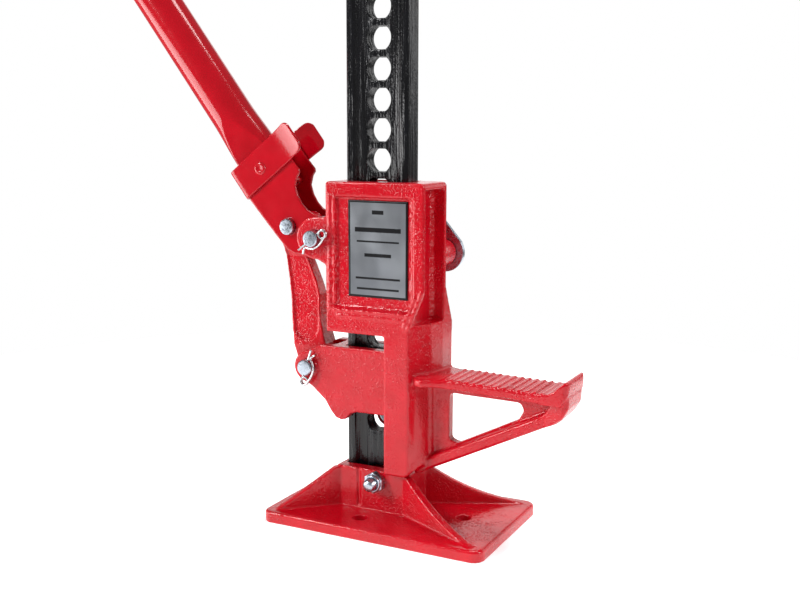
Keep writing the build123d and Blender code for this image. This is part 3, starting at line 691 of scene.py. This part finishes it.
def hexagon(name, centre, corner, y0, y1):
    """A hexagon prism along Y with corners up and down, its edges rounded."""
    bm = bmesh.new()
    ends = []
    for y in (y0, y1):
        ring = []
        for k in range(6):
            turn = math.radians(90 + 60 * k)
            x, z = centre.x + corner * math.cos(turn), centre.z + corner * math.sin(turn)
            ring.append(bm.verts.new((x, y, z)))
        ends.append(ring)
    for k in range(6):
        bm.faces.new((ends[0][k], ends[0][(k + 1) % 6], ends[1][(k + 1) % 6], ends[1][k]))
    bm.faces.new(ends[0][::-1])
    bm.faces.new(ends[1])
    bmesh.ops.recalc_face_normals(bm, faces=bm.faces)
    obj = from_bmesh(name, bm)
    modifier(obj, "BEVEL", width=0.7 * MM, segments=3)
    return settle(obj)


def base_nut():
    """A lock nut: a hexagon with a turned collar round its insert."""
    low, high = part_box("base_nut")
    centre = centre_of("base_nut")
    corner = (high.z - low.z) / 2
    body = hexagon("nut_body", centre, corner, low.y + NUT_COLLAR_HIGH, high.y)
    ring = [(4.9, 0.9), (5.2, 0.2), (5.9, 0.0), (6.4, 0.5), (6.7, 1.6), (6.9, 2.6), (4.9, 2.6), (4.9, 0.9)]
    collar = lathe_y("nut_collar", centre, [(r * MM, low.y + h * MM) for r, h in ring])
    return settle(joined("base_lock_nut", [body, collar]))


finish_piece(base_bolt(), "base_bolt", zinc)
finish_piece(base_nut(), "base_nut", zinc)


# ---- spring clips ----------------------------------------------------------------------
CLIP_WIRE, CLIP_EYE, CLIP_BACK = 0.85, 3.0, -10.0


def clip_line(side):
    """An R-clip's middle line as (along, out, lift): a straight leg, one full eye and a bowed leg."""
    points = [(14.5 - i * 0.7, 0.0, 0.0) for i in range(35)]
    turns = 48
    for i in range(turns + 1):
        turn = -math.pi / 2 - 3 * math.pi * i / turns
        lift = 2.05 * CLIP_WIRE * min(1.0, i / (turns * 0.75))
        points.append((CLIP_BACK + CLIP_EYE * math.cos(turn), CLIP_EYE * (1 + math.sin(turn)), lift))
    corners = [(CLIP_BACK, 2 * CLIP_EYE), (-6.5, 7.1), (-2.5, 7.7), (2.5, 7.0)]
    corners += [(6.0, 4.6), (8.2, 2.2), (10.2, 2.6), (12.9, 4.8)]
    for (a0, b0), (a1, b1), (a2, b2), (a3, b3) in zip(corners, corners[1:], corners[2:], corners[3:]):
        for k in range(6):
            f = k / 6
            along_leg = catmull(a0, a1, a2, a3, f)
            out = catmull(b0, b1, b2, b3, f)
            points.append((along_leg, out, 2.05 * CLIP_WIRE * max(0.25, 1 - (along_leg + 6) / 22)))
    points.append((corners[-1][0], corners[-1][1], 0.6))
    return [(a, side * b, lift) for a, b, lift in points]


def catmull(p0, p1, p2, p3, f):
    return 0.5 * (2 * p1 + (p2 - p0) * f + (2 * p0 - 5 * p1 + 4 * p2 - p3) * f * f
                  + (3 * p1 - p0 - 3 * p2 + p3) * f ** 3)


def spring_clip(name, node, pin, angle, side):
    low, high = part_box(node)
    centre = centre_of(pin)
    y = (low.y + high.y) / 2
    leg = Vector((math.cos(angle), 0, math.sin(angle)))
    out = Vector((-math.sin(angle), 0, math.cos(angle)))
    points = []
    for a, b, lift in clip_line(side):
        points.append(Vector((centre.x, y - lift * MM, centre.z)) + (a * leg + b * out) * MM)
    obj = tube_along(name, points, CLIP_WIRE * MM, 14)
    bevel_edges(obj, 0.3 * MM, 2, 60)
    return finish_piece(settle(obj), node, wire)


spring_clip("handle_pin_r_clip", "handle_pivot_clip", "handle_pivot_pin", math.radians(218), 1)
spring_clip("pitman_pin_r_clip", "pitman_pin_clip", "pitman_pin", math.radians(70), -1)


# ---- data plate ------------------------------------------------------------------------
def data_plate():
    """A thin foil sheet that does not lie quite flat."""
    bm = bmesh.new()
    across_count, up_count = 48, 70
    size = plate_high - plate_low
    grid = []
    for j in range(up_count + 1):
        row = []
        for i in range(across_count + 1):
            u, v = i / across_count, j / up_count
            ripple = 0.10 * MM * math.sin(5.1 * u + 2.3 * v) * math.sin(3.9 * v + 0.6)
            x, z = plate_low.x + u * size.x, plate_low.z + v * size.z
            row.append(bm.verts.new((x, plate_low.y + 0.25 * MM + ripple, z)))
        grid.append(row)
    for a, b in zip(grid, grid[1:]):
        for i in range(across_count):
            bm.faces.new((a[i], a[i + 1], b[i + 1], b[i]))
    obj = from_bmesh("data_plate_foil", bm)
    modifier(obj, "SOLIDIFY", thickness=0.5 * MM, offset=-1)
    return settle(obj)


finish_piece(data_plate(), "data_plate", label_material(plate_low, plate_high))


# ---- stage, light and camera -----------------------------------------------------------
FLOOR_RADIUS = 0.75
ROOM_LIGHT, BACKDROP_LIGHT = 0.22, 1.0


def stage_floor():
    bm = bmesh.new()
    bmesh.ops.create_circle(bm, cap_ends=True, radius=FLOOR_RADIUS, segments=96)
    floor = from_bmesh("floor", bm)
    floor.data.materials.append(white_floor)


def soft_lamp(name, at, towards, size, watts):
    data = bpy.data.lights.new(name, "AREA")
    data.shape = "RECTANGLE"
    data.size, data.size_y = size
    data.energy = watts
    lamp = linked(name, data)
    lamp.location = at
    lamp.rotation_euler = (Vector(towards) - Vector(at)).to_track_quat("-Z", "Y").to_euler()


def studio_world():
    """A dim room for light and reflections, with a pale backdrop behind the object."""
    world = bpy.data.worlds.new("studio")
    world.use_nodes = True
    tree = world.node_tree
    room = tree.nodes["Background"]
    room.inputs["Color"].default_value = (1, 1, 1, 1)
    room.inputs["Strength"].default_value = ROOM_LIGHT
    white = {"Color": (1, 1, 1, 1), "Strength": BACKDROP_LIGHT}
    backdrop = add(tree, "ShaderNodeBackground", white)
    seen = add(tree, "ShaderNodeLightPath").outputs["Is Camera Ray"]
    both = add(tree, "ShaderNodeMixShader", {0: seen, 1: room.outputs[0], 2: backdrop.outputs[0]})
    tree.links.new(both.outputs[0], tree.nodes["World Output"].inputs["Surface"])
    bpy.context.scene.world = world


CAMERA_AT = (0.36258, -0.68272, 0.29370)
CAMERA_AZIMUTH, CAMERA_DOWN, CAMERA_ROLL = 27.0, 9.37, 0.14
CAMERA_LENS, CAMERA_SENSOR = 47.37, 36.0


def photo_camera():
    data = bpy.data.cameras.new("camera")
    data.lens = CAMERA_LENS
    data.sensor_width = CAMERA_SENSOR
    camera = linked("camera", data)
    turn = Matrix.Rotation(math.radians(CAMERA_AZIMUTH), 3, "Z")
    turn = turn @ Matrix.Rotation(math.radians(90 - CAMERA_DOWN), 3, "X")
    turn = turn @ Matrix.Rotation(math.radians(CAMERA_ROLL), 3, "Z")
    camera.matrix_world = Matrix.Translation(CAMERA_AT) @ turn.to_4x4()
    bpy.context.scene.camera = camera


# each lamp's name, place, what it faces, width and height, and watts
LAMPS = [
    ("left_box", (-1.5, -1.7, 1.5), (0, 0, 0.22), (0.5, 1.1), 48),
    ("left_card", (-1.15, -0.55, 0.03), (-0.1, 0, 0.35), (0.9, 0.6), 9),
    ("right_box", (1.9, -0.2, 1.0), (0, 0, 0.22), (0.35, 1.1), 15),
    ("top_box", (0.2, 0.5, 2.4), (0, 0, 0.2), (1.3, 0.6), 30),
    ("back_wall", (-1.1, 2.3, 0.8), (0, 0, 0.25), (2.8, 1.3), 11),
    ("back_right", (1.3, 2.1, 0.8), (0, 0, 0.25), (1.2, 1.2), 6),
]

stage_floor()
for lamp_settings in LAMPS:
    soft_lamp(*lamp_settings)
studio_world()
bpy.context.scene.view_settings.view_transform = "Standard"
photo_camera()
